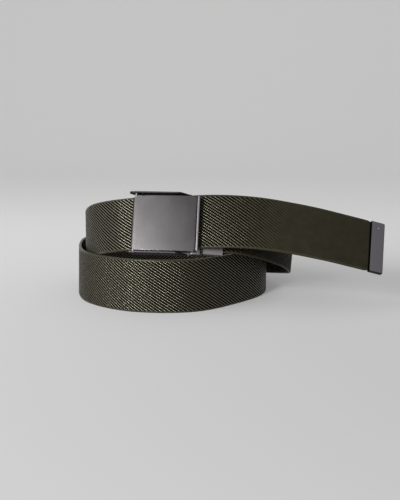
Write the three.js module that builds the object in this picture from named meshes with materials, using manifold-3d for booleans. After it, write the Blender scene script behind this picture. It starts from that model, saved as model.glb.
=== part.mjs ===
// Stretch belt: one band of woven elastic webbing, wound into a loose coil that stands on its
// lower edge, with a metal end on its free end and a flip lever buckle on its fixed end.
// Millimetres, +Z up. The buckle's face looks towards -Y. The coil stands on Z = 0.

import * as THREE from "three";
import { mergeVertices } from "three/addons/utils/BufferGeometryUtils.js";
import Module from "manifold-3d";

const wasm = await Module();
wasm.setup();

// Driving dimensions

const strap = {
  width: 38, thick: 2.2, crimpedWidth: 36.8, crimpedThick: 1.6, crimpRun: 4, edgeCut: 0.5, step: 5,
};
const air = 0.35; // between two pieces that bear on each other
const past = 30; // how far a cutter reaches, past every side of the buckle

// The middle of the belt's outline, which becomes the origin
const middle = { x: 16.3, y: 77.1 };

// Where the strap's middle passes the middle of the buckle, which way the buckle's length
// points, how far its top leans back, and how askew the strap lies in it
const buckle = { x: -23.2, y: 4.7, z: 62.8, heading: -7.3, lean: 21.5, skew: 3.2, rise: 0.8 };

// Where the metal keeps the strap straight, as distances along the clamp and along the buckle
const clampHold = [10, 17, 21];
const buckleHold = [-26, -20, 20, 26];

const frame = {
  left: -23, right: 17.5, halfWidth: 21.8, tailHalfWidth: 20.7, plate: 1.2,
  cheek: 0.9, cheekHeight: 5.6, cheekFlat: 7.5, cheekCorner: 10,
  cheekKnee: 12.6, kneeHeight: 1.6, cheekEnd: 16.5,
  earLeft: -27, earTop: 6.4, earRadius: 3.8,
};
const lever = {
  halfLength: 23.6, halfWidth: 19.5, rise: -0.5, plate: 1.3, crown: 0.5, faceHeight: 5.4,
  lipHeight: 1.4, lipThick: 1.3, lipCorner: 0.4, lipBend: 0.9,
  flange: 0.9, flangeFoot: 2.5, flangeStart: -18, flangeCorner: 1,
};
const hinge = {
  along: -22, height: 3.4, pinRadius: 1, holeRadius: 1.3, barrelRadius: 2,
};
const link = {
  along: 22.6, height: -4.2, pinRadius: 0.9, holeRadius: 1.2, barrelRadius: 1.6, split: 13,
};
const clamp = {
  turn: 14, start: 2.3, length: 14.4, wall: 0.8, bend: 0.6, halfWidth: 20.8,
  rise: 0.5, strapRise: 0.9, web: 1.8,
};
const tip = { length: 10.2, wall: 0.6, sideWall: 0.45, bend: 0.5, corner: 1.2 };

// The strap's course between the clamp and the buckle: where the middle of its width passes,
// and how far its top leans back, or outwards where it is negative. Down to the surface,
// once round on it, once more inside that turn, and up again to the buckle.
const coil = [
  { x: 37, y: 17, z: 56, lean: 17 },
  { x: 61, y: 43, z: 45.3, lean: 5 },
  { x: 73, y: 79, z: 33, lean: -5 },
  { x: 66, y: 119, z: 25, lean: -10 },
  { x: 37, y: 152, z: 20, lean: -8 },
  { x: -7, y: 166, z: 19, lean: -3 },
  { x: -52, y: 155, z: 19, lean: 0 },
  { x: -92.3, y: 124, z: 19, lean: 1 },
  { x: -95.7, y: 79, z: 19, lean: 1.5 },
  { x: -81.8, y: 32, z: 19, lean: 1 },
  { x: -47, y: 4.5, z: 19, lean: 0 },
  { x: -5, y: 4, z: 19, lean: 0 },
  { x: 26.8, y: 30.3, z: 19, lean: 0 },
  { x: 48.8, y: 63, z: 19, lean: 0 },
  { x: 51.5, y: 98, z: 19, lean: 0 },
  { x: 37, y: 131, z: 19, lean: 0 },
  { x: 10, y: 152, z: 19, lean: -4 },
  { x: -24, y: 158, z: 20, lean: -7 },
  { x: -54, y: 147, z: 24, lean: -9 },
  { x: -75, y: 124, z: 31, lean: -6 },
  { x: -88, y: 93, z: 38, lean: -1 },
  { x: -87, y: 61, z: 47, lean: 1 },
  { x: -77, y: 34.2, z: 54.8, lean: 4 },
  { x: -61, y: 14.2, z: 60.2, lean: 17 },
];

// The free end, from the buckle to the metal end
const freeEnd = [
  { x: 36, y: -1, z: 64.5, lean: 27 },
  { x: 61, y: -3, z: 61.3, lean: 31 },
  { x: 84, y: -3, z: 56.7, lean: 31 },
  { x: 106, y: 0, z: 51, lean: 30 },
  { x: 127.3, y: 4, z: 45.1, lean: 29 },
];

const webbing = { color: 0x3a392c, roughness: 0.92, metalness: 0 };
const gunmetal = { color: 0x6f6b6a, roughness: 0.4, metalness: 0.9 };
const steel = { color: 0x8b8988, roughness: 0.35, metalness: 1 };

const up = new THREE.Vector3(0, 0, 1);
const { degToRad, radToDeg, lerp, smoothstep } = THREE.MathUtils;

function piece(name, geometry, look) {
  const mesh = new THREE.Mesh(geometry, new THREE.MeshStandardMaterial(look));
  mesh.name = name;
  return mesh;
}

// A solid for joining and cutting, and the way back

function toSolid(geometry) {
  const bare = geometry.clone();
  bare.deleteAttribute("normal");
  bare.deleteAttribute("uv");
  const merged = mergeVertices(bare, 1e-4);
  const vertProperties = merged.attributes.position.array;
  const triVerts = new Uint32Array(merged.index.array);
  return new wasm.Manifold(new wasm.Mesh({ numProp: 3, vertProperties, triVerts }));
}

function toGeometry(solid) {
  const mesh = solid.getMesh();
  const geometry = new THREE.BufferGeometry();
  geometry.setAttribute("position", new THREE.Float32BufferAttribute(mesh.vertProperties, 3));
  geometry.setIndex(Array.from(mesh.triVerts));
  geometry.computeVertexNormals();
  return geometry;
}

// The buckle's own frame: x along the strap, y across it, z out of the buckle's face.
// A profile is drawn in x and z and stretched across, from one width to another.

function stretched(profile, from, to) {
  const settings = { depth: to - from, bevelEnabled: false, curveSegments: 10 };
  const geometry = new THREE.ExtrudeGeometry(profile, settings);
  geometry.rotateX(Math.PI / 2);
  geometry.translate(0, to, 0);
  return toSolid(geometry);
}

function rod(radius, from, to, along, height, sides = 20) {
  const geometry = new THREE.CylinderGeometry(radius, radius, to - from, sides);
  geometry.translate(along, (from + to) / 2, height);
  return geometry;
}

function block(x0, x1, y0, y1, z0, z1) {
  const geometry = new THREE.BoxGeometry(x1 - x0, y1 - y0, z1 - z0);
  geometry.translate((x0 + x1) / 2, (y0 + y1) / 2, (z0 + z1) / 2);
  return toSolid(geometry);
}

function outline(points) {
  return new THREE.Shape(points.map(([x, z]) => new THREE.Vector2(x, z)));
}

function pinIn(place, halfLength) {
  return rod(place.pinRadius, -halfLength, halfLength, place.along, place.height, 16);
}

// The frame behind the strap: a back plate with a cheek along each side, which carry the
// hinge pin, and a tail that is rolled round the link pin

function buckleFrame() {
  const front = -strap.thick / 2 - air;
  const back = front - frame.plate;
  const tail = new THREE.Shape();
  tail.moveTo(frame.left, front);
  tail.lineTo(frame.right, front);
  tail.lineTo(link.along, link.height + link.barrelRadius);
  tail.absarc(link.along, link.height, link.barrelRadius, Math.PI / 2, -Math.PI, true);
  tail.lineTo(frame.right, back);
  tail.lineTo(frame.left, back);

  const cheek = new THREE.Shape();
  const earAlong = frame.earLeft + frame.earRadius;
  const earHeight = frame.earTop - frame.earRadius;
  cheek.moveTo(frame.left, back);
  cheek.lineTo(frame.cheekEnd, back);
  cheek.lineTo(frame.cheekKnee, frame.kneeHeight);
  cheek.quadraticCurveTo(frame.cheekCorner, frame.cheekHeight, frame.cheekFlat, frame.cheekHeight);
  cheek.lineTo(earAlong, frame.earTop);
  cheek.absarc(earAlong, earHeight, frame.earRadius, Math.PI / 2, Math.PI, false);

  const inner = frame.halfWidth - frame.cheek;
  const knuckleStart = link.along - link.barrelRadius - air;
  const knuckleEnd = link.along + link.barrelRadius + air;
  return stretched(tail, -frame.tailHalfWidth, frame.tailHalfWidth)
    .add(block(frame.left, frame.cheekEnd, -frame.halfWidth, frame.halfWidth, back, front))
    .add(stretched(cheek, inner, frame.halfWidth))
    .add(stretched(cheek, -frame.halfWidth, -inner))
    .subtract(block(knuckleStart, knuckleEnd, -link.split, link.split, -past, 0))
    .subtract(toSolid(rod(link.holeRadius, -past, past, link.along, link.height)))
    .subtract(toSolid(rod(hinge.holeRadius, -past, past, hinge.along, hinge.height)));
}

// The lever: a slightly crowned plate, rolled round the hinge pin at its left end, with a
// flange along each side and a turned up lip for the finger at its right end

function faceAt(x) {
  return lever.faceHeight + lever.crown * (1 - (x / hinge.along) ** 2);
}

function buckleLever() {
  const right = lever.halfLength;
  const lipStart = right - lever.lipThick;
  const lipTop = lever.faceHeight + lever.lipHeight;
  const lipFoot = lever.faceHeight - lever.plate;
  const steps = 12;
  const face = [];
  for (let i = 0; i <= steps; i += 1) {
    const x = lerp(hinge.along, lipStart, i / steps);
    face.push([x, faceAt(x)]);
  }
  const under = face.map(([x, z]) => [x, z - lever.plate]).reverse();
  const lip = [
    [lipStart, lipTop - lever.lipCorner],
    [lipStart + lever.lipCorner, lipTop],
    [right - lever.lipCorner, lipTop],
    [right, lipTop - lever.lipCorner],
    [right, lipFoot + lever.lipBend],
    [right - lever.lipBend, lipFoot],
  ];
  const plate = outline([...face, ...lip, ...under]);

  const corner = lever.flangeCorner;
  const side = outline([
    [lever.flangeStart, lever.flangeFoot + corner],
    [lever.flangeStart + corner, lever.flangeFoot],
    [lipStart - corner, lever.flangeFoot],
    [lipStart, lever.flangeFoot + corner],
    [lipStart, faceAt(lipStart) - lever.plate / 2],
    [0, faceAt(0) - lever.plate / 2],
    [lever.flangeStart, faceAt(lever.flangeStart) - lever.plate / 2],
  ]);
  const low = lever.rise - lever.halfWidth;
  const high = lever.rise + lever.halfWidth;
  return stretched(plate, low, high)
    .add(toSolid(rod(hinge.barrelRadius, low, high, hinge.along, hinge.height, 24)))
    .add(stretched(side, high - lever.flange, high))
    .add(stretched(side, low, low + lever.flange))
    .subtract(toSolid(rod(hinge.holeRadius, -past, past, hinge.along, hinge.height)));
}

// The clamp, in a frame that stands on the link pin: a folded plate that holds the fixed end
// of the strap, and the knuckle in the middle of the link

function strapClamp() {
  const inner = strap.thick / 2 + air;
  const outer = inner + clamp.wall;
  const left = clamp.start;
  const right = clamp.start + clamp.length;
  const bend = clamp.bend;
  const fold = outline([
    [left + bend, -outer],
    [right, -outer],
    [right, -inner],
    [left + clamp.wall, -inner],
    [left + clamp.wall, inner],
    [right, inner],
    [right, outer],
    [left + bend, outer],
    [left, outer - bend],
    [left, bend - outer],
  ]);
  const knuckle = link.split - air;
  return stretched(fold, clamp.rise - clamp.halfWidth, clamp.rise + clamp.halfWidth)
    .add(block(0, left + bend, -knuckle, knuckle, -clamp.web / 2, clamp.web / 2))
    .add(toSolid(rod(link.barrelRadius, -knuckle, knuckle, 0, 0)))
    .subtract(toSolid(rod(link.holeRadius, -past, past, 0, 0)));
}

// The metal end, in a frame that stands on the strap's last section: a flat cap pressed over
// the end of the webbing, with its two outer corners rounded

function strapTip() {
  const inner = strap.crimpedThick / 2 + air;
  const outer = inner + tip.wall;
  const right = air + tip.wall;
  const left = right - tip.length;
  const bend = tip.bend;
  const profile = outline([
    [left, -outer],
    [right - bend, -outer],
    [right, bend - outer],
    [right, outer - bend],
    [right - bend, outer],
    [left, outer],
  ]);
  const corner = tip.corner;
  const innerWidth = strap.crimpedWidth / 2 + air;
  const w = innerWidth + tip.sideWall;
  const plan = new THREE.Shape();
  plan.moveTo(left - 1, -w);
  plan.absarc(right - corner, corner - w, corner, -Math.PI / 2, 0, false);
  plan.absarc(right - corner, w - corner, corner, 0, Math.PI / 2, false);
  plan.lineTo(left - 1, w);
  const settings = { depth: 4 * outer, bevelEnabled: false, curveSegments: 5 };
  const cutter = new THREE.ExtrudeGeometry(plan, settings).translate(0, 0, -2 * outer);
  return stretched(profile, -w, w)
    .intersect(toSolid(cutter))
    .subtract(block(left - 1, air, -innerWidth, innerWidth, -inner, inner));
}

// The strap's course: rows in, evenly stepped stations out. Each stretch is a cubic whose
// slope at a row weighs the two chords that meet there.

function chordBetween(a, b) {
  return Math.hypot(b.x - a.x, b.y - a.y, b.z - a.z);
}

function chordSlope(a, b, key) {
  return (b[key] - a[key]) / chordBetween(a, b);
}

function slopeAt(rows, i, key) {
  if (i === 0) {
    return chordSlope(rows[0], rows[1], key);
  }
  const slopeBefore = chordSlope(rows[i - 1], rows[i], key);
  if (i === rows.length - 1) {
    return slopeBefore;
  }
  const slopeAfter = chordSlope(rows[i], rows[i + 1], key);
  const before = chordBetween(rows[i - 1], rows[i]);
  const after = chordBetween(rows[i], rows[i + 1]);
  return (slopeBefore * after + slopeAfter * before) / (before + after);
}

function stationsAlong(rows) {
  const keys = ["x", "y", "z", "lean"];
  const stations = [];
  for (let i = 0; i + 1 < rows.length; i += 1) {
    const length = chordBetween(rows[i], rows[i + 1]);
    const steps = Math.ceil(length / strap.step);
    for (let k = 0; k < steps; k += 1) {
      const t = k / steps;
      const stay = 2 * t ** 3 - 3 * t ** 2 + 1;
      const leave = (t ** 3 - 2 * t ** 2 + t) * length;
      const arrive = (t ** 3 - t ** 2) * length;
      const station = {};
      for (const key of keys) {
        const near = stay * rows[i][key] + leave * slopeAt(rows, i, key);
        const far = (1 - stay) * rows[i + 1][key] + arrive * slopeAt(rows, i + 1, key);
        station[key] = near + far;
      }
      stations.push(station);
    }
  }
  stations.push(rows.at(-1));
  return stations;
}

// Each station's directions: along the strap, across it and out of its face. Where the course
// dips below the surface, the strap's lower edge stands on it instead.

function sectionsAlong(rows) {
  const stations = stationsAlong(rows);
  const points = stations.map((s) => new THREE.Vector3(s.x, s.y, s.z));
  return stations.map((station, i) => {
    const before = points[Math.max(i - 1, 0)];
    const after = points[Math.min(i + 1, points.length - 1)];
    const along = after.clone().sub(before).normalize();
    const upright = up.clone().addScaledVector(along, -along.z).normalize();
    const aside = along.clone().cross(upright);
    const turn = degToRad(-station.lean);
    const across = upright.multiplyScalar(Math.cos(turn)).addScaledVector(aside, Math.sin(turn));
    const out = along.clone().cross(across);
    const edge = strap.thick / 2 - strap.edgeCut;
    const foot = (strap.width / 2) * across.z + edge * Math.abs(out.z);
    const centre = points[i].clone();
    centre.z = Math.max(centre.z, foot);
    return { centre, along, across, out };
  });
}

function leanOf(along, across) {
  const upright = up.clone().addScaledVector(along, -along.z).normalize();
  const aside = along.clone().cross(upright);
  return radToDeg(Math.atan2(-across.dot(aside), across.dot(upright)));
}

// Rows that keep the strap straight where metal holds it, from points of a group's own frame

function straightRows(group, distances, rise, skew = 0) {
  group.updateWorldMatrix(true, false);
  const cos = Math.cos(degToRad(skew));
  const sin = Math.sin(degToRad(skew));
  const along = new THREE.Vector3(cos, sin, 0).transformDirection(group.matrixWorld);
  const across = new THREE.Vector3(-sin, cos, 0).transformDirection(group.matrixWorld);
  const lean = leanOf(along, across);
  return distances.map((distance) => {
    const point = new THREE.Vector3(distance * cos, rise + distance * sin, 0);
    return { ...group.localToWorld(point), lean };
  });
}

// The webbing: one closed loft through the sections, thinner where the metal end crimps it

function strapBody(sections) {
  const cut = strap.edgeCut;
  const travelled = [0];
  for (let i = 1; i < sections.length; i += 1) {
    travelled.push(travelled[i - 1] + sections[i].centre.distanceTo(sections[i - 1].centre));
  }
  const mouth = travelled.at(-1) - (tip.length - air - tip.wall);
  const positions = [];
  sections.forEach((section, i) => {
    const crimp = smoothstep(travelled[i], mouth - strap.crimpRun, mouth);
    const thick = lerp(strap.thick, strap.crimpedThick, crimp) / 2;
    const half = lerp(strap.width, strap.crimpedWidth, crimp) / 2;
    const ring = [
      [-half, -thick + cut],
      [-half, thick - cut],
      [-half + cut, thick],
      [half - cut, thick],
      [half, thick - cut],
      [half, -thick + cut],
      [half - cut, -thick],
      [-half + cut, -thick],
    ];
    for (const [across, out] of ring) {
      const point = section.centre.clone();
      point.addScaledVector(section.across, across);
      point.addScaledVector(section.out, out);
      positions.push(point.x, point.y, point.z);
    }
  });
  const sides = 8;
  const index = [];
  for (let i = 0; i + 1 < sections.length; i += 1) {
    for (let k = 0; k < sides; k += 1) {
      const a = i * sides + k;
      const b = i * sides + ((k + 1) % sides);
      index.push(a, a + sides, b, b, a + sides, b + sides);
    }
  }
  const end = (sections.length - 1) * sides;
  for (let k = 1; k + 1 < sides; k += 1) {
    index.push(0, k, k + 1);
    index.push(end, end + k + 1, end + k);
  }
  const geometry = new THREE.BufferGeometry();
  geometry.setAttribute("position", new THREE.Float32BufferAttribute(positions, 3));
  geometry.setIndex(index);
  geometry.computeVertexNormals();
  return geometry;
}

// Assembly

const belt = new THREE.Group();
belt.position.set(-middle.x, -middle.y, 0);

const course = new THREE.Group(); // rows are read here before the belt is moved to its middle
const buckleGroup = new THREE.Group();
buckleGroup.position.set(buckle.x, buckle.y, buckle.z);
buckleGroup.rotation.set(degToRad(90 - buckle.lean), 0, degToRad(buckle.heading), "ZXY");
const clampGroup = new THREE.Group();
clampGroup.position.set(link.along, 0, link.height);
clampGroup.rotation.y = degToRad(clamp.turn);
buckleGroup.add(clampGroup);
course.add(buckleGroup);

const strapStart = clamp.start + clamp.wall + air;
const rows = [
  ...straightRows(clampGroup, [strapStart, ...clampHold], clamp.strapRise),
  ...coil,
  ...straightRows(buckleGroup, buckleHold, buckle.rise, buckle.skew),
  ...freeEnd,
];
const sections = sectionsAlong(rows);
const lastSection = sections.at(-1);

const tipGroup = new THREE.Group();
tipGroup.position.copy(lastSection.centre);
const tipTurn = new THREE.Matrix4();
tipTurn.makeBasis(lastSection.along, lastSection.across, lastSection.out);
tipGroup.quaternion.setFromRotationMatrix(tipTurn);

const hingePin = pinIn(hinge, frame.halfWidth);
const linkPin = pinIn(link, frame.tailHalfWidth);
buckleGroup.add(piece("buckle_frame", toGeometry(buckleFrame()), gunmetal));
buckleGroup.add(piece("buckle_lever", toGeometry(buckleLever()), gunmetal));
buckleGroup.add(piece("hinge_pin", hingePin, steel));
buckleGroup.add(piece("link_pin", linkPin, steel));
clampGroup.add(piece("strap_clamp", toGeometry(strapClamp()), gunmetal));
tipGroup.add(piece("strap_tip", toGeometry(strapTip()), gunmetal));
course.add(tipGroup);
course.add(piece("strap", strapBody(sections), webbing));
belt.add(course);

export default belt;
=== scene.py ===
from bisect import bisect_right
from math import atan2, ceil, cos, degrees, pi, radians, sin, sqrt

import bmesh
import bpy
from mathutils import Matrix, Vector


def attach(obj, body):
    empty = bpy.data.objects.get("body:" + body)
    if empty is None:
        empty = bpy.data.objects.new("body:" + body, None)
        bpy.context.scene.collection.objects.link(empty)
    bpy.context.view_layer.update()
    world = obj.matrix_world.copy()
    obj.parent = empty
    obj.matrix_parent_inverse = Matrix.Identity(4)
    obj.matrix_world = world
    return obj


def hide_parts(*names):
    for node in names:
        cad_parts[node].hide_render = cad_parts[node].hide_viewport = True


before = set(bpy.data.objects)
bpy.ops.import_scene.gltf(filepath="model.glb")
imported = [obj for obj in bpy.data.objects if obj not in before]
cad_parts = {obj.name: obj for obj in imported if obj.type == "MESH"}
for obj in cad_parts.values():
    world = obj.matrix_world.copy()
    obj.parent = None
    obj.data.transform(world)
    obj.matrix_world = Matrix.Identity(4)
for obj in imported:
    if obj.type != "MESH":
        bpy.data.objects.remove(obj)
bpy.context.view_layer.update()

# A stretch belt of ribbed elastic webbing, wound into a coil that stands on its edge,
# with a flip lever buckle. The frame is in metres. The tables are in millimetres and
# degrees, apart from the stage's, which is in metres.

mm = 0.001
scene = bpy.context.scene


# Camera, where the photo was taken from

cameraView = {
    "place": (-16.3, -610.4, 132.5), "pitchDown": 9.3,
    "focalPixels": 777, "framePixels": 400, "sensorWidth": 36, "clipEnd": 50,
}


def addCamera(view):
    data = bpy.data.cameras.new("camera")
    data.sensor_fit = "HORIZONTAL"
    data.sensor_width = view["sensorWidth"]
    data.lens = view["sensorWidth"] * view["focalPixels"] / view["framePixels"]
    data.clip_end = view["clipEnd"]
    camera = bpy.data.objects.new("camera", data)
    scene.collection.objects.link(camera)
    camera.location = Vector(view["place"]) * mm
    camera.rotation_euler = (radians(90 - view["pitchDown"]), 0, 0)
    scene.camera = camera


addCamera(cameraView)
print("camera set")


# Small helpers for meshes and for shader nodes

def meshObject(name, bm):
    mesh = bpy.data.meshes.new(name)
    bm.to_mesh(mesh)
    bm.free()
    for face in mesh.polygons:
        face.use_smooth = True
    piece = bpy.data.objects.new(name, mesh)
    scene.collection.objects.link(piece)
    return piece


def newMaterial(name):
    material = bpy.data.materials.new(name)
    material.use_nodes = True
    tree = material.node_tree
    shader = tree.nodes["Principled BSDF"]
    return material, tree, shader


def addNode(tree, kind, settings=None, **inputs):
    node = tree.nodes.new(kind)
    for key, value in (settings or {}).items():
        setattr(node, key, value)
    for key, value in inputs.items():
        setInput(tree, node, key, value)
    return node


def setInput(tree, node, key, value):
    socket = node.inputs[int(key[1:])] if key[1:].isdigit() else node.inputs[key]
    if isinstance(value, bpy.types.NodeSocket):
        tree.links.new(value, socket)
    else:
        socket.default_value = value


def mathNode(tree, operation, a, b=0.0, c=0.0):
    return addNode(tree, "ShaderNodeMath", {"operation": operation}, _0=a, _1=b, _2=c).outputs[0]


def mapRange(tree, value, fromLow, fromHigh, toLow=0.0, toHigh=1.0, smooth=False):
    kind = {"interpolation_type": "SMOOTHSTEP"} if smooth else {}
    node = addNode(tree, "ShaderNodeMapRange", kind,
                   _0=value, _1=fromLow, _2=fromHigh, _3=toLow, _4=toHigh)
    return node.outputs[0]


def noise(tree, where, kind):
    node = addNode(tree, "ShaderNodeTexNoise", None,
                   Vector=where, Scale=kind["scale"], Detail=kind["detail"])
    return node.outputs[0]


def mixValues(tree, amount, a, b):
    kept = mathNode(tree, "MULTIPLY", mathNode(tree, "SUBTRACT", 1.0, amount), a)
    return mathNode(tree, "ADD", kept, mathNode(tree, "MULTIPLY", amount, b))


def mixColour(tree, amount, a, b, blend="MIX"):
    node = addNode(tree, "ShaderNodeMix", {"data_type": "RGBA", "blend_type": blend}, _0=amount)
    setInput(tree, node, "_6", a)
    setInput(tree, node, "_7", b)
    return node.outputs[2]


def newGroup(name, inputs, outputs):
    group = bpy.data.node_groups.new(name, "ShaderNodeTree")
    for label, value in inputs.items():
        socket = group.interface.new_socket(label, in_out="INPUT", socket_type="NodeSocketFloat")
        socket.default_value = value
    for label in outputs:
        group.interface.new_socket(label, in_out="OUTPUT", socket_type="NodeSocketFloat")
    return group, group.nodes.new("NodeGroupInput").outputs, group.nodes.new("NodeGroupOutput").inputs


def useGroup(tree, group, **inputs):
    return addNode(tree, "ShaderNodeGroup", {"node_tree": group}, **inputs).outputs


# The strap's course, the same rows as in the solids: x, y, z of the middle of its width and
# how far its top leans back, all in mm and degrees

belt = {"middle": (16.3, 77.1, 0)}
buckle = {
    "place": (-23.2, 4.7, 62.8), "heading": -7.3, "lean": 21.5,
    "skew": 3.2, "rise": 0.8, "hold": (-26, -20, 20, 26),
}
link = {"along": 22.6, "height": -4.2}
clamp = {"turn": 14, "strapRise": 0.9, "strapStart": 3.45, "hold": (10, 17, 21)}
coilRows = (
    (37, 17, 56, 17), (61, 43, 45.3, 5), (73, 79, 33, -5), (66, 119, 25, -10),
    (37, 152, 20, -8), (-7, 166, 19, -3), (-52, 155, 19, 0), (-92.3, 124, 19, 1),
    (-95.7, 79, 19, 1.5), (-81.8, 32, 19, 1), (-47, 4.5, 19, 0), (-5, 4, 19, 0),
    (26.8, 30.3, 19, 0), (48.8, 63, 19, 0), (51.5, 98, 19, 0), (37, 131, 19, 0),
    (10, 152, 19, -4), (-24, 158, 20, -7), (-54, 147, 24, -9), (-75, 124, 31, -6),
    (-88, 93, 38, -1), (-87, 61, 47, 1), (-77, 34.2, 54.8, 4), (-61, 14.2, 60.2, 17),
)
freeEndRows = (
    (36, -1, 64.5, 27), (61, -3, 61.3, 31), (84, -3, 56.7, 31), (106, 0, 51, 30), (127.3, 4, 45.1, 29),
)
up = Vector((0, 0, 1))

buckleTurn = (Matrix.Rotation(radians(buckle["heading"]), 4, "Z")
              @ Matrix.Rotation(radians(90 - buckle["lean"]), 4, "X"))
buckleFrame = Matrix.Translation(buckle["place"]) @ buckleTurn
clampFrame = (buckleFrame @ Matrix.Translation((link["along"], 0, link["height"]))
              @ Matrix.Rotation(radians(clamp["turn"]), 4, "Y"))


def leanOf(along, across):
    upright = (up - along * along.z).normalized()
    return degrees(atan2(-across.dot(along.cross(upright)), across.dot(upright)))


def straightRows(place, distances, rise, skew=0.0):
    c, s = cos(radians(skew)), sin(radians(skew))
    turn = place.to_3x3()
    lean = leanOf(turn @ Vector((c, s, 0)), turn @ Vector((-s, c, 0)))
    points = [place @ Vector((d * c, rise + d * s, 0)) for d in distances]
    return [Vector((*point, lean)) for point in points]


def courseStations(rows, step):
    chords = [(b - a).xyz.length for a, b in zip(rows, rows[1:])]
    slopes = [(rows[1] - rows[0]) / chords[0]]
    for i in range(1, len(rows) - 1):
        before, after = chords[i - 1], chords[i]
        slopeBefore = (rows[i] - rows[i - 1]) / before
        slopeAfter = (rows[i + 1] - rows[i]) / after
        slopes.append((slopeBefore * after + slopeAfter * before) / (before + after))
    slopes.append((rows[-1] - rows[-2]) / chords[-1])
    stations = []
    for i, chord in enumerate(chords):
        steps = ceil(chord / step)
        for k in range(steps):
            t = k / steps
            stay = 2 * t ** 3 - 3 * t ** 2 + 1
            leave = (t ** 3 - 2 * t ** 2 + t) * chord
            arrive = (t ** 3 - t ** 2) * chord
            stations.append(rows[i] * stay + slopes[i] * leave
                            + rows[i + 1] * (1 - stay) + slopes[i + 1] * arrive)
    return stations + [rows[-1]]


def courseSections(rows, width, edge, step):
    stations = courseStations(rows, step)
    centres, frames, travelled = [], [], [0.0]
    for i, station in enumerate(stations):
        before = stations[max(i - 1, 0)].xyz
        after = stations[min(i + 1, len(stations) - 1)].xyz
        along = (after - before).normalized()
        upright = (up - along * along.z).normalized()
        turn = radians(-station.w)
        across = upright * cos(turn) + along.cross(upright) * sin(turn)
        out = along.cross(across)
        foot = width / 2 * across.z + edge * abs(out.z)
        centre = station.xyz
        centre.z = max(centre.z, foot)
        centres.append((centre - Vector(belt["middle"])) * mm)
        frames.append((across, out))
        if i:
            travelled.append(travelled[-1] + (centres[i] - centres[i - 1]).length)
    return centres, frames, travelled


# The webbing: a flat band with its ribs in relief, laid out along the strap, then bent
# onto the course. Its grid is sheared, so that its columns run down the ribs.

webbing = {
    "width": 38, "thick": 2.2, "edgeCut": 0.5, "edgeHalf": 0.5, "edgeRadius": 0.95,
    "crimpedWidth": 36.8, "crimpedThick": 1.6, "crimpRun": 4, "tipDepth": 9.25,
    "ribPitch": 3.24, "ribRise": 2.15, "ribHeight": 0.27, "ribSharpness": 0.7, "columnsPerRib": 6,
    "selvedge": 0.95, "ribFade": 0.7, "edgeRows": (0, 0.12, 0.4, 0.95, 1.5, 2.2), "innerRows": 8,
    # Near both ends the rib tone evens out and the shine drops: painted shade, where the strap faces away
    # from the light
    "calmFrom": 104, "calmTo": 66, "calmRelief": 0.5,  # from the free end: where the ribs flatten
    "dullFrom": 175, "dullTo": 90,  # from the free end: where they lose their shine
    "shineFrom": 120, "shineFull": 200,  # from the fixed end: where they take it up
    "courseStep": 1, "cutTolerance": 1e-5,
}
strapRows = (straightRows(clampFrame, (clamp["strapStart"], *clamp["hold"]), clamp["strapRise"])
             + [Vector(row) for row in coilRows]
             + straightRows(buckleFrame, buckle["hold"], buckle["rise"], buckle["skew"])
             + [Vector(row) for row in freeEndRows])


def smoothStep(value, low, high):
    t = min(max((value - low) / (high - low), 0), 1)
    return t * t * (3 - 2 * t)


def bandRows(w):
    half = w["width"] / 2
    last = w["edgeRows"][-1]
    low = [-half + d for d in w["edgeRows"]]
    inner = [(-half + last) * (1 - 2 * k / w["innerRows"]) for k in range(1, w["innerRows"])]
    return low + inner + [-v for v in reversed(low)]


def faceHeight(w, u, v, calm):
    fromEdge = w["width"] / 2 - abs(v)
    rounding = min(fromEdge / w["edgeRadius"], 1)
    bulge = w["edgeHalf"] + (w["thick"] / 2 - w["edgeHalf"]) * sqrt(1 - (1 - rounding) ** 2)
    crest = 0.5 + 0.5 * cos(2 * pi * (u / w["ribPitch"] + v / w["ribRise"]))
    depth = w["ribHeight"] * (1 - crest ** w["ribSharpness"]) * (1 - w["calmRelief"] * calm)
    return bulge - depth * smoothStep(fromEdge, w["selvedge"], w["selvedge"] + w["ribFade"])


def flatBand(w, length):
    rows = bandRows(w)
    shear = w["ribPitch"] / w["ribRise"]
    reach = w["width"] / 2 * shear
    columns = ceil((length + 2 * reach) / w["ribPitch"]) * w["columnsPerRib"]
    bm = bmesh.new()
    bmesh.ops.create_grid(bm, x_segments=columns, y_segments=len(rows) - 1, size=1)
    for vertex in bm.verts:
        column = round((vertex.co.x + 1) / 2 * columns)
        v = rows[round((vertex.co.y + 1) / 2 * (len(rows) - 1))]
        start = -ceil(reach / w["ribPitch"]) * w["ribPitch"]
        vertex.co = (start + column * w["ribPitch"] / w["columnsPerRib"] - v * shear, v, 0)
    for place, normal in ((0, -1), (length, 1)):
        cut = bm.verts[:] + bm.edges[:] + bm.faces[:]
        bmesh.ops.bisect_plane(bm, geom=cut, dist=w["cutTolerance"], plane_co=(place, 0, 0),
                               plane_no=(normal, 0, 0), clear_outer=True)
    return bm


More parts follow.
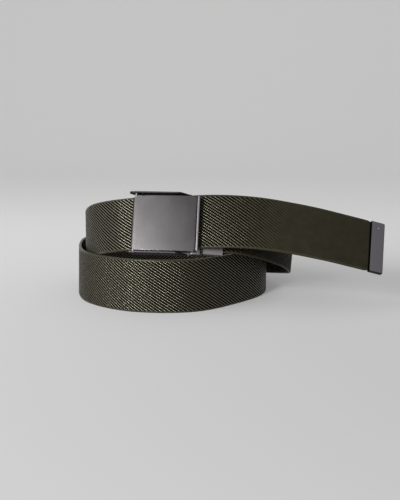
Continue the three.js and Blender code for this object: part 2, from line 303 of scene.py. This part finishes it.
def makeStrap(w):
    edge = w["thick"] / 2 - w["edgeCut"]
    centres, frames, travelled = courseSections(strapRows, w["width"], edge, w["courseStep"])
    length = travelled[-1] / mm
    bm = flatBand(w, length)
    back = set(bm.verts)
    bmesh.ops.extrude_face_region(bm, geom=bm.faces[:])
    bm.verts.ensure_lookup_table()
    uvLayer = bm.loops.layers.uv.new("weave")
    for face in bm.faces:
        for loop in face.loops:
            loop[uvLayer].uv = loop.vert.co.xy * mm
    mouth = length - w["tipDepth"]
    for vertex in bm.verts:
        u, v = vertex.co.xy
        h = faceHeight(w, u, v, smoothStep(u, length - w["calmFrom"], length - w["calmTo"]))
        crimp = smoothStep(u, mouth - w["crimpRun"], mouth)
        h *= 1 + (w["crimpedThick"] / w["thick"] - 1) * crimp
        v *= 1 + (w["crimpedWidth"] / w["width"] - 1) * crimp
        if vertex in back:
            h = -h
        distance = min(max(u * mm, 0), travelled[-1])
        i = min(bisect_right(travelled, distance) - 1, len(travelled) - 2)
        t = (distance - travelled[i]) / (travelled[i + 1] - travelled[i])
        centre = centres[i].lerp(centres[i + 1], t)
        across = frames[i][0].lerp(frames[i + 1][0], t)
        out = frames[i][1].lerp(frames[i + 1][1], t)
        vertex.co = centre + (across * v + out * h) * mm
    bmesh.ops.recalc_face_normals(bm, faces=bm.faces[:])
    print("webbing", round(length), "mm long,", len(bm.faces), "faces")
    across, out = frames[-1]
    end = Matrix((across.cross(out), across, out)).transposed().to_4x4()
    end.translation = centres[-1] / mm + Vector(belt["middle"])
    return meshObject("webbing", bm), end, length


strapPiece, strapEnd, strapLength = makeStrap(webbing)
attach(strapPiece, "belt")
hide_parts("strap")
print("webbing made")


# The buckle's cover: one sheet, rolled round the hinge pin at its left end, crowned a little,
# folded down along both sides and turned up into a lip at its right end

cover = {
    "left": -22, "right": 23.6, "halfWidth": 19.5, "rise": -0.5, "faceHeight": 5.4, "crown": 0.5,
    "columns": 28, "sheet": 0.9, "edge": 0.14, "sharpFrom": 50, "tolerance": 0.1,
    "barrelHeight": 3.4, "barrelRadius": 2, "barrelFrom": -25, "barrelTo": -270, "barrelSteps": 20,
    "notch": 1.3, "flangeFrom": -18, "flangeFoot": 2.5, "fold": 0.45, "foldSteps": 4,
    "seam": 0.3, "lipWidth": 1.8, "lipHeight": 1.4, "lipDepth": 1.4, "lipRound": 0.45, "lipSteps": 4,
}
# for every metal piece: a distance in mm, two angles in degrees, and the bevel and shading
metalMesh = {"merge": 0.002, "flatWithin": 0.5, "sharpFrom": 30, "bevelSteps": 2, "normalWeight": 90}


def moveHome(bm, matrix):
    bmesh.ops.scale(bm, vec=(mm, mm, mm), verts=bm.verts[:])
    shift = Matrix.Translation((matrix.translation - Vector(belt["middle"])) * mm)
    bmesh.ops.transform(bm, matrix=shift @ matrix.to_3x3().to_4x4(), verts=bm.verts[:])


def strip(bm, points, low, high):
    first = [bm.verts.new((x, low, z)) for x, z in points]
    chain = [bm.edges.new(pair) for pair in zip(first, first[1:])]
    swept = bmesh.ops.extrude_edge_only(bm, edges=chain)
    moved = [g for g in swept["geom"] if isinstance(g, bmesh.types.BMVert)]
    bmesh.ops.translate(bm, verts=moved, vec=(0, high - low, 0))


def breakEdges(bm, width, sharpFrom):
    sharp = [e for e in bm.edges if e.is_manifold and e.calc_face_angle() > radians(sharpFrom)]
    bmesh.ops.bevel(bm, geom=sharp, offset=width, offset_type="OFFSET", affect="EDGES",
                    segments=metalMesh["bevelSteps"], profile=0.5, material=-1, clamp_overlap=True)


def metalPiece(name, bm, node, body):
    piece = meshObject(name, bm)
    piece.modifiers.new("even_shading", "WEIGHTED_NORMAL").weight = metalMesh["normalWeight"]
    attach(piece, body)
    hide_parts(node)
    return piece


def addLip(bm, c):
    before = set(bm.faces)
    lip = bmesh.ops.create_cube(bm, size=1)["verts"]
    size = (c["lipWidth"], 2 * c["halfWidth"], c["lipHeight"] + c["lipDepth"])
    bmesh.ops.scale(bm, vec=size, verts=lip)
    middle = (c["right"] - c["lipWidth"] / 2, 0, c["faceHeight"] + (c["lipHeight"] - c["lipDepth"]) / 2)
    bmesh.ops.translate(bm, vec=middle, verts=lip)
    edges = [e for e in bm.edges if e.verts[0] in lip]
    bmesh.ops.bevel(bm, geom=edges, offset=c["lipRound"], offset_type="OFFSET", affect="EDGES",
                    segments=c["lipSteps"], profile=0.5, material=-1)
    # the lip takes the cover's paler second finish: a painted highlight along it
    for face in set(bm.faces) - before:
        face.material_index = 1


def makeCover(c):
    faceEnd = c["right"] - c["lipWidth"] - c["seam"]

    def barrelAt(k):
        angle = radians(c["barrelFrom"] + (c["barrelTo"] - c["barrelFrom"]) * k / c["barrelSteps"])
        radius = c["barrelRadius"]
        return c["left"] + radius * cos(angle), c["barrelHeight"] + radius * sin(angle)

    def faceAt(k):
        x = c["left"] + (faceEnd - c["left"]) * k / c["columns"]
        return x, c["faceHeight"] + c["crown"] * (1 - (x / c["left"]) ** 2)

    def onSide(vertex):
        return (abs(vertex.co.y) > c["halfWidth"] - c["tolerance"]
                and c["flangeFrom"] < vertex.co.x < faceEnd + c["tolerance"])

    points = [barrelAt(k) for k in range(c["barrelSteps"])] + [faceAt(k) for k in range(c["columns"] + 1)]
    bm = bmesh.new()
    strip(bm, points, -c["halfWidth"], c["halfWidth"])
    for vertex in bm.verts:
        if vertex.co.x < c["left"] + c["tolerance"] and vertex.co.z < c["faceHeight"] + c["tolerance"]:
            vertex.co.y -= c["notch"] if vertex.co.y > 0 else -c["notch"]
    rims = [e for e in bm.edges if e.is_boundary and all(onSide(v) for v in e.verts)]
    folded = bmesh.ops.extrude_edge_only(bm, edges=rims)
    for vertex in (g for g in folded["geom"] if isinstance(g, bmesh.types.BMVert)):
        vertex.co.z = c["flangeFoot"]
    bmesh.ops.bevel(bm, geom=rims, offset=c["fold"], offset_type="OFFSET", affect="EDGES",
                    segments=c["foldSteps"], profile=0.5, material=-1)
    bmesh.ops.recalc_face_normals(bm, faces=bm.faces[:])
    if max(bm.faces, key=lambda f: f.calc_area()).normal.z < 0:
        bmesh.ops.reverse_faces(bm, faces=bm.faces[:])
    bmesh.ops.solidify(bm, geom=bm.faces[:], thickness=c["sheet"])
    bmesh.ops.recalc_face_normals(bm, faces=bm.faces[:])
    breakEdges(bm, c["edge"], c["sharpFrom"])
    addLip(bm, c)
    bmesh.ops.translate(bm, vec=(0, c["rise"], 0), verts=bm.verts[:])
    moveHome(bm, buckleFrame)
    return metalPiece("buckle_cover", bm, "buckle_lever", "lever")


# The metal end: a flat hollow cap with soft rims, and the mark of the tool that pressed it on

tip = {
    "length": 10.2, "beyond": 0.95, "halfWidth": 19.2, "halfThick": 1.75, "wall": 0.6,
    "rim": 1, "rimSteps": 4, "flatFrom": 0.9,
    "markFromEnd": 4.6, "markFromTop": 4.6, "markRadius": 0.85, "markHeight": 0.3,
    "markSides": 20, "markRings": 10,
}


def makeTip(t, end):
    bm = bmesh.new()
    bmesh.ops.create_cube(bm, size=1)
    bmesh.ops.scale(bm, vec=(t["length"], 2 * t["halfWidth"], 2 * t["halfThick"]), verts=bm.verts[:])
    bmesh.ops.translate(bm, vec=(t["beyond"] - t["length"] / 2, 0, 0), verts=bm.verts[:])
    mouth = min(bm.faces, key=lambda f: f.calc_center_median().x)
    soft = [e for e in bm.edges if mouth not in e.link_faces]
    bmesh.ops.bevel(bm, geom=soft, offset=t["rim"], offset_type="OFFSET", affect="EDGES",
                    segments=t["rimSteps"], profile=0.5, material=-1)
    mouth = min(bm.faces, key=lambda f: f.calc_center_median().x)
    bm.normal_update()
    # faces turned away from the flat top and bottom, the rims, take the darker second finish: a painted
    # shade
    for face in bm.faces:
        face.material_index = int(abs(face.normal.z) < t["flatFrom"])
    bmesh.ops.inset_region(bm, faces=[mouth], thickness=t["wall"], use_even_offset=True)
    inside = bmesh.ops.extrude_discrete_faces(bm, faces=[mouth])["faces"]
    bmesh.ops.translate(bm, vec=(t["length"] - 2 * t["wall"], 0, 0), verts=inside[0].verts[:])
    mark = bmesh.ops.create_uvsphere(bm, u_segments=t["markSides"], v_segments=t["markRings"],
                                     radius=t["markRadius"])["verts"]
    bmesh.ops.scale(bm, vec=(1, 1, t["markHeight"] / t["markRadius"]), verts=mark)
    markPlace = (t["beyond"] - t["markFromEnd"], t["halfWidth"] - t["markFromTop"], t["halfThick"])
    bmesh.ops.translate(bm, vec=markPlace, verts=mark)
    bmesh.ops.recalc_face_normals(bm, faces=bm.faces[:])
    moveHome(bm, end)
    return metalPiece("tip_crimped", bm, "strap_tip", "belt")


# The frame and the clamp: the solids' own shapes with their edges broken. Beyond paleFrom,
# measured along the buckle, each has its second, paler finish: on the frame this is a painted
# highlight on the knuckle, and the clamp has it all over.

foldedPieces = {
    "buckle_frame": {"name": "buckle_frame_folded", "edge": 0.36, "paleFrom": 18},
    "strap_clamp": {"name": "clamp_folded", "edge": 0.15, "paleFrom": 0},
}


def softened(node, look):
    bm = bmesh.new()
    bm.from_mesh(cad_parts[node].data)
    bmesh.ops.remove_doubles(bm, verts=bm.verts[:], dist=metalMesh["merge"] * mm)
    bmesh.ops.dissolve_limit(bm, angle_limit=radians(metalMesh["flatWithin"]), verts=bm.verts[:],
                             edges=bm.edges[:])
    breakEdges(bm, look["edge"] * mm, metalMesh["sharpFrom"])
    toBuckle = buckleFrame.inverted()
    for face in bm.faces:
        middle = toBuckle @ (face.calc_center_median() / mm + Vector(belt["middle"]))
        # past paleFrom: the paler second finish, on the frame a painted highlight on the knuckle
        face.material_index = int(middle.x > look["paleFrom"])
    return metalPiece(look["name"], bm, node, "belt")


metalParts = {"buckle_lever": makeCover(cover), "strap_tip": makeTip(tip, strapEnd)}
for node, look in foldedPieces.items():
    metalParts[node] = softened(node, look)
print("metal pieces made")


# Finishes

webbingLook = {
    "grooveShade": (0.0008, 0.0007, 0.0005, 1), "crest": (0.048, 0.0443, 0.0283, 1),
    "selvedge": (0.031, 0.029, 0.0185, 1), "selvedgeRib": 0.35, "selvedgeBlend": (0.4, -0.1),
    "crestRange": (-0.45, 0.85), "breaks": 0.58, "breaksPerRib": 2, "breakRange": (-1, 0.6),
    # calmRib and calmLife even out the rib tone towards the free end, calmGloss and startGloss lower the
    # shine at the ends: painted shade
    "calmRib": 0.41, "calmLife": 0.14, "mouthShade": (1.7, 0.7),
    "cloud": {"scale": 160, "detail": 3, "range": (0.3, 0.7), "tone": (0.85, 1.12)},
    "fuzz": {"scale": 2600, "detail": 2, "range": (0.25, 0.75), "tone": (0.8, 1.2)},
    "fuzzHeight": 0.15, "bumpStrength": 0.8, "bumpHeight": 0.12,
    "roughness": 0.26, "gloss": 1.55, "glossPower": 2.2, "glossTint": (1, 0.965, 0.76, 1),
    "calmGloss": 0.12, "startGloss": 0.06,
}


def webbingMaterial(w, look, length):
    material, tree, shader = newMaterial("olive_webbing")
    uv = addNode(tree, "ShaderNodeUVMap", {"uv_map": "weave"}).outputs[0]
    place = addNode(tree, "ShaderNodeSeparateXYZ", None, _0=uv).outputs

    def alongStrap(low, high, *values, smooth=False):
        return mapRange(tree, place[0], low * mm, high * mm, *values, smooth=smooth)

    def waveOf(phase):
        return mathNode(tree, "COSINE", mathNode(tree, "MULTIPLY", phase, 2 * pi))

    u = mathNode(tree, "DIVIDE", place[0], w["ribPitch"] * mm)
    v = mathNode(tree, "DIVIDE", place[1], w["ribRise"] * mm)
    crest = mapRange(tree, waveOf(mathNode(tree, "ADD", u, v)), *look["crestRange"], smooth=True)
    # a finer wave across the ribs breaks each into short floats
    breakPhase = mathNode(tree, "SUBTRACT", mathNode(tree, "MULTIPLY", u, look["breaksPerRib"]), v)
    yarn = mapRange(tree, waveOf(breakPhase), *look["breakRange"])
    rib = mathNode(tree, "MULTIPLY", crest, mapRange(tree, yarn, 0, 1, 1 - look["breaks"], 1))
    # towards the free end the ribs fade into one tone: painted shade, where that end faces away from the
    # light
    life = alongStrap(length - w["calmFrom"], length - w["calmTo"], 1, look["calmLife"], smooth=True)
    rib = mixValues(tree, life, look["calmRib"], rib)
    # and so they do in the selvedge, which has a tone of its own
    fromEdge = mathNode(tree, "SUBTRACT", w["width"] / 2 * mm, mathNode(tree, "ABSOLUTE", place[1]))
    edge = mapRange(tree, fromEdge, *((w["selvedge"] + more) * mm for more in look["selvedgeBlend"]))
    rib = mixValues(tree, edge, rib, look["selvedgeRib"])
    # the groove colour is near-black: a painted shade in the creases between the ribs, over the webbing's
    # olive crests
    colour = mixColour(tree, rib, look["grooveShade"], look["crest"])
    colour = mixColour(tree, edge, colour, look["selvedge"])
    # shade where the webbing goes into the metal tip
    atMouth = alongStrap(*(length - w["tipDepth"] - before for before in look["mouthShade"]))
    colour = mixColour(tree, atMouth, colour, look["grooveShade"])
    cloud = noise(tree, uv, look["cloud"])
    fuzz = noise(tree, uv, look["fuzz"])
    tone = mathNode(tree, "MULTIPLY",
                    mapRange(tree, cloud, *look["cloud"]["range"], *look["cloud"]["tone"]),
                    mapRange(tree, fuzz, *look["fuzz"]["range"], *look["fuzz"]["tone"]))
    toneColour = addNode(tree, "ShaderNodeCombineXYZ", None, _0=tone, _1=tone, _2=tone).outputs[0]
    colour = mixColour(tree, 1.0, colour, toneColour, "MULTIPLY")
    height = mathNode(tree, "ADD", mathNode(tree, "MULTIPLY", yarn, rib),
                      mathNode(tree, "MULTIPLY", fuzz, look["fuzzHeight"]))
    bump = addNode(tree, "ShaderNodeBump", None, Strength=look["bumpStrength"],
                   Distance=look["bumpHeight"] * mm, Height=height)
    # the crests shine, less towards both ends: the lowered shine is painted shade on stretches that face
    # away from the light
    start = alongStrap(w["shineFrom"], w["shineFull"], look["startGloss"], 1)
    finish = alongStrap(length - w["dullFrom"], length - w["dullTo"], look["gloss"], look["calmGloss"])
    gloss = mathNode(tree, "MULTIPLY", mathNode(tree, "POWER", rib, look["glossPower"]),
                     mathNode(tree, "MULTIPLY", finish, start))
    tree.links.new(colour, shader.inputs["Base Color"])
    tree.links.new(bump.outputs[0], shader.inputs["Normal"])
    tree.links.new(gloss, shader.inputs["Specular IOR Level"])
    shader.inputs["Specular Tint"].default_value = look["glossTint"]
    shader.inputs["Roughness"].default_value = look["roughness"]
    return material


# How every metal finish wears pale along its edges, and its fine grain and broad smudges

metalSurface = {
    "wear": {"scale": 400, "detail": 4, "range": (0.35, 0.65)}, "wearEdge": (0.56, 0.7),
    "grain": {"scale": 900, "detail": 3}, "bumpStrength": 0.12, "bumpHeight": 0.03,
    "smudge": {"scale": 70, "detail": 3, "range": (0.3, 0.7)}, "smudgeChange": 0.02,
}
metalLooks = {
    "satin_gunmetal": {
        "base": (0.058, 0.0552, 0.0562, 1), "worn": (0.25, 0.24, 0.235, 1),
        "roughness": 0.29, "wear": 0.15,
    },
    "lip_highlight_gunmetal": {
        "base": (0.118, 0.113, 0.117, 1), "worn": (0.3, 0.29, 0.29, 1),
        "roughness": 0.32, "wear": 0.2,
    },
    "blackened_steel_and_rim_shade": {
        "base": (0.036, 0.034, 0.037, 1), "worn": (0.25, 0.24, 0.24, 1),
        "roughness": 0.36, "wear": 0.5, "glossTint": (0.6, 0.56, 0.6, 1),
    },
    "pale_gunmetal_and_knuckle_highlight": {
        "base": (0.3, 0.286, 0.291, 1), "worn": (0.42, 0.41, 0.4, 1),
        "roughness": 0.33, "wear": 0.2,
    },
    "dark_gunmetal": {
        "base": (0.18, 0.174, 0.189, 1), "worn": (0.32, 0.3, 0.3, 1),
        "roughness": 0.42, "wear": 0.3,
    },
    "drawn_steel": {
        "base": (0.16, 0.155, 0.157, 1), "worn": (0.3, 0.29, 0.285, 1),
        "roughness": 0.42, "wear": 0.2,
    },
}
# the finish of each piece, then that of the faces marked as its second. The lip's and the frame knuckle's
# second finishes are painted highlights, the tip rims' a painted shade.
finishes = {
    "buckle_lever": ("satin_gunmetal", "lip_highlight_gunmetal"),
    "buckle_frame": ("blackened_steel_and_rim_shade", "pale_gunmetal_and_knuckle_highlight"),
    "strap_clamp": ("pale_gunmetal_and_knuckle_highlight", "pale_gunmetal_and_knuckle_highlight"),
    "strap_tip": ("dark_gunmetal", "blackened_steel_and_rim_shade"),
}


def makeWearGroup(surface):
    wear = surface["wear"]
    group, given, put = newGroup("edge_wear", {"Amount": 0.5, "Scale": wear["scale"]}, ["Mask"])
    point = group.nodes.new("ShaderNodeNewGeometry").outputs["Pointiness"]
    place = group.nodes.new("ShaderNodeTexCoord").outputs["Object"]
    patches = noise(group, place, {"scale": given[1], "detail": wear["detail"]})
    worn = mathNode(group, "MULTIPLY", mapRange(group, point, *surface["wearEdge"]),
                    mapRange(group, patches, *wear["range"]))
    group.links.new(mathNode(group, "MULTIPLY", worn, given[0]), put[0])
    return group


def makeGrainGroup(surface):
    group, given, put = newGroup("satin_grain", {"Scale": surface["grain"]["scale"]}, ["Grain", "Smudge"])
    place = group.nodes.new("ShaderNodeTexCoord").outputs["Object"]
    fine = noise(group, place, {"scale": given[0], "detail": surface["grain"]["detail"]})
    group.links.new(fine, put[0])
    group.links.new(noise(group, place, surface["smudge"]), put[1])
    return group


wearGroup = makeWearGroup(metalSurface)
grainGroup = makeGrainGroup(metalSurface)


def metalMaterial(name, look, surface):
    material, tree, shader = newMaterial(name)
    wear = useGroup(tree, wearGroup, Amount=look["wear"])[0]
    grain, smudge = useGroup(tree, grainGroup)
    change = surface["smudgeChange"]
    rough = mapRange(tree, smudge, *surface["smudge"]["range"],
                     look["roughness"] - change, look["roughness"] + change)
    bump = addNode(tree, "ShaderNodeBump", None, Strength=surface["bumpStrength"],
                   Distance=surface["bumpHeight"] * mm, Height=grain)
    tree.links.new(mixColour(tree, wear, look["base"], look["worn"]), shader.inputs["Base Color"])
    tree.links.new(rough, shader.inputs["Roughness"])
    tree.links.new(bump.outputs[0], shader.inputs["Normal"])
    shader.inputs["Metallic"].default_value = 1
    shader.inputs["Specular Tint"].default_value = look.get("glossTint", (1, 1, 1, 1))
    return material


strapPiece.data.materials.append(webbingMaterial(webbing, webbingLook, strapLength))
metalMaterials = {name: metalMaterial(name, look, metalSurface) for name, look in metalLooks.items()}
for node, piece in metalParts.items():
    for name in finishes[node]:
        piece.data.materials.append(metalMaterials[name])
for node in ("hinge_pin", "link_pin"):
    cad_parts[node].material_slots[0].material = metalMaterials["drawn_steel"]
print("finishes made")


# Floor, backdrop and light, with places in metres. The floor and backdrop glow a little, a
# painted light that keeps the shadows soft. The sparkle only adds reflections.

stage = {
    "halfWidth": 3, "front": -2, "bend": 1.4, "bendRadius": 1.6, "bendSteps": 32, "top": 3.5,
    "floor": (0.305, 0.302, 0.305, 1), "wall": (0.57, 0.566, 0.566, 1), "blend": (-0.35, 0.5),
    "roughness": 0.9, "glow": 0.178, "glowTint": (1, 0.995, 1, 1),
}
lights = {
    "key": {
        "place": (-0.72, -1.32, 0.556), "target": (0, 0.05, 0.03),
        "size": 0.28, "power": 24, "diffuse": True,
    },
    "left": {
        "place": (-0.75, -0.55, 0.6), "target": (-0.15, -0.25, 0),
        "size": 0.6, "power": 4.2, "diffuse": True,
    },
    "sparkle": {
        "place": (-0.46, -1.2, 0.12), "target": (-0.05, -0.07, 0.03),
        "size": 0.16, "power": 7.5, "diffuse": False,
    },
}
room = {
    "right": 0.4, "left": 0.74, "overhead": 0.5, "tint": (1, 0.995, 0.99),
    "sideways": (0.6, -0.8), "upwards": (0.2, 0.85),
}


def addStage(s):
    bm = bmesh.new()
    start = bm.verts.new((-s["halfWidth"], s["front"], 0))
    end = bm.verts.new((-s["halfWidth"], s["bend"], 0))
    bm.edges.new((start, end))
    spun = bmesh.ops.spin(bm, geom=[end], cent=(0, s["bend"], s["bendRadius"]), axis=(1, 0, 0),
                          angle=pi / 2, steps=s["bendSteps"], use_duplicate=False)
    top = spun["geom_last"][0]
    last = bm.verts.new(top.co + Vector((0, 0, s["top"])))
    bm.edges.new((top, last))
    swept = bmesh.ops.extrude_edge_only(bm, edges=bm.edges[:])
    moved = [g for g in swept["geom"] if isinstance(g, bmesh.types.BMVert)]
    bmesh.ops.translate(bm, verts=moved, vec=(2 * s["halfWidth"], 0, 0))
    bmesh.ops.recalc_face_normals(bm, faces=bm.faces[:])
    sweep = meshObject("stage_sweep", bm)
    material, tree, shader = newMaterial("pale_paper")
    place = addNode(tree, "ShaderNodeTexCoord").outputs["Object"]
    depth = addNode(tree, "ShaderNodeSeparateXYZ", None, _0=place).outputs[1]
    # the paper is darker across the floor, most towards the front, than up the wall: a painted shade
    far = mapRange(tree, depth, *s["blend"], smooth=True)
    tree.links.new(mixColour(tree, far, s["floor"], s["wall"]), shader.inputs["Base Color"])
    shader.inputs["Roughness"].default_value = s["roughness"]
    # the glow: painted light over the whole sweep
    shader.inputs["Emission Color"].default_value = s["glowTint"]
    shader.inputs["Emission Strength"].default_value = s["glow"]
    sweep.data.materials.append(material)


def addLight(name, light):
    data = bpy.data.lights.new(name, "AREA")
    data.shape = "SQUARE"
    data.size = light["size"]
    data.energy = light["power"]
    lamp = bpy.data.objects.new(name, data)
    scene.collection.objects.link(lamp)
    lamp.visible_diffuse = light["diffuse"]
    lamp.location = light["place"]
    lamp.rotation_euler = (Vector(light["target"]) - lamp.location).to_track_quat("-Z", "Y").to_euler()


def addRoom(r):
    world = bpy.data.worlds.new("studio")
    world.use_nodes = True
    scene.world = world
    tree = world.node_tree
    direction = tree.nodes.new("ShaderNodeTexCoord").outputs["Generated"]
    way = addNode(tree, "ShaderNodeSeparateXYZ", None, _0=direction).outputs

    def shade(side):
        return *(channel * r[side] for channel in r["tint"]), 1

    leftwards = mapRange(tree, way[0], *r["sideways"], smooth=True)
    upwards = mapRange(tree, way[2], *r["upwards"], smooth=True)
    around = mixColour(tree, leftwards, shade("right"), shade("left"))
    colour = mixColour(tree, upwards, around, shade("overhead"))
    tree.links.new(colour, tree.nodes["Background"].inputs["Color"])


addStage(stage)
for name, light in lights.items():
    addLight(name, light)
addRoom(room)
scene.view_settings.view_transform = "Standard"
print("stage lit")
